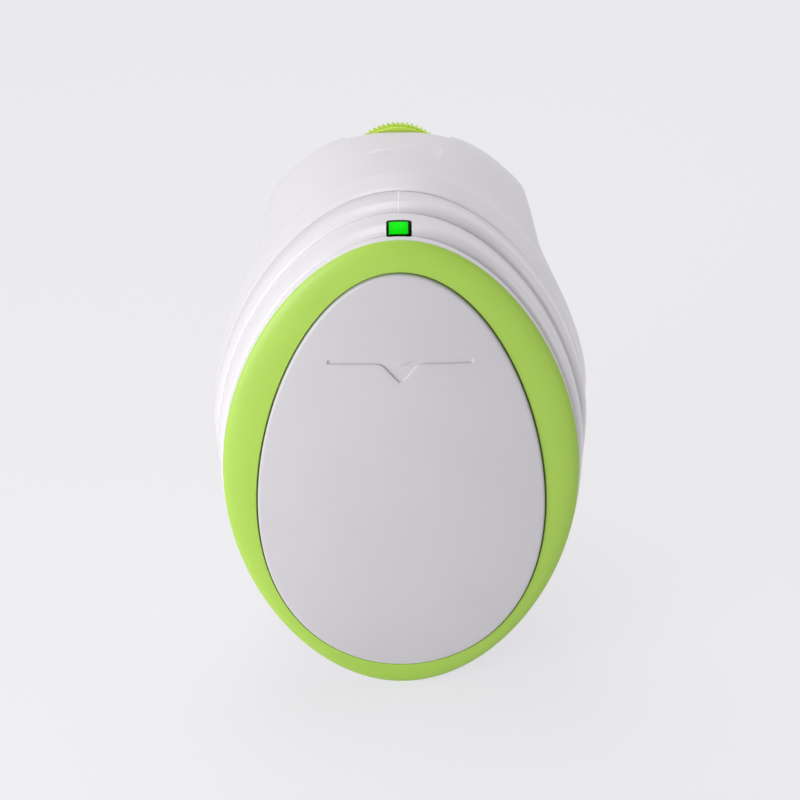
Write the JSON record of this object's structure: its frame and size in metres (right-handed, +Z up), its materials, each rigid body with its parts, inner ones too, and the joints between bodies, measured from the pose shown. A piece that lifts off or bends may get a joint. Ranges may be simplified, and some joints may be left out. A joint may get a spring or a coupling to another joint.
{
  "type": "fetal doppler monitor",
  "caption": "Pocket fetal doppler with an egg-shaped face in a green bezel, a stepped collar, a waisted grip, a volume thumbwheel and a round probe.",
  "frame": {"origin": "middle of the footprint on the standing plane, under the bounding box", "axes": "+X across the egg to its right seen from the front, +Y from the egg face back to the probe, +Z up along the egg"},
  "size_m": [0.067, 0.066, 0.0924],
  "materials": {
    "white_plastic": "fine satin moulding",
    "green_plastic": "satin moulding",
    "black_plastic": "matt moulding",
    "probe_plastic": "smooth satin moulding",
    "battery_case": "printed steel jacket",
    "red_vinyl": "smooth sleeve",
    "black_vinyl": "smooth sleeve",
    "clear_vinyl": "smooth sleeve",
    "board_laminate": "solder mask",
    "aluminium_can": "drawn can",
    "plated_steel": "zinc plate",
    "lamp_epoxy": "cast epoxy",
    "lit_window": "polished clear plastic, lit from behind",
    "seal_rubber": "moulded ring",
    "damping_rubber": "cast compound",
    "piezo_ceramic": "silvered ceramic"
  },
  "bodies": {
    "case": {"rear_housing": "white_plastic", "collar_housing": "white_plastic", "bezel": "green_plastic", "battery_tray": "white_plastic", "battery": "battery_case", "battery_clip": "black_plastic", "red_lead": "red_vinyl", "black_lead": "black_vinyl", "main_board": "board_laminate", "board_chips": "black_plastic", "board_capacitors": "aluminium_can", "volume_control": "black_plastic", "status_lamp": "lamp_epoxy", "lamp_window": "lit_window", "lamp_leads": "clear_vinyl", "earphone_socket_left": "black_plastic", "earphone_socket_right": "black_plastic", "probe_shell": "probe_plastic", "probe_seal": "seal_rubber", "transmit_crystal": "piezo_ceramic", "receive_crystal": "piezo_ceramic", "damping_pad": "damping_rubber", "probe_cable": "black_vinyl", "case_screws": "plated_steel"},
    "cover": {"battery_cover": "white_plastic"},
    "wheel": {"volume_wheel": "green_plastic", "volume_spindle": "plated_steel", "wheel_screw": "plated_steel"}
  },
  "joints": [
    {"name": "volume_turn", "type": "hinge", "parent": "case", "child": "wheel", "pos_m": [0, 0.0103, 0.0834], "axis": [0, 1, 0], "range_deg": [0, 300]},
    {"name": "cover_lift", "type": "slide", "parent": "case", "child": "cover", "axis": [0, -1, 0], "range_m": [0, 0.04]}
  ]
}
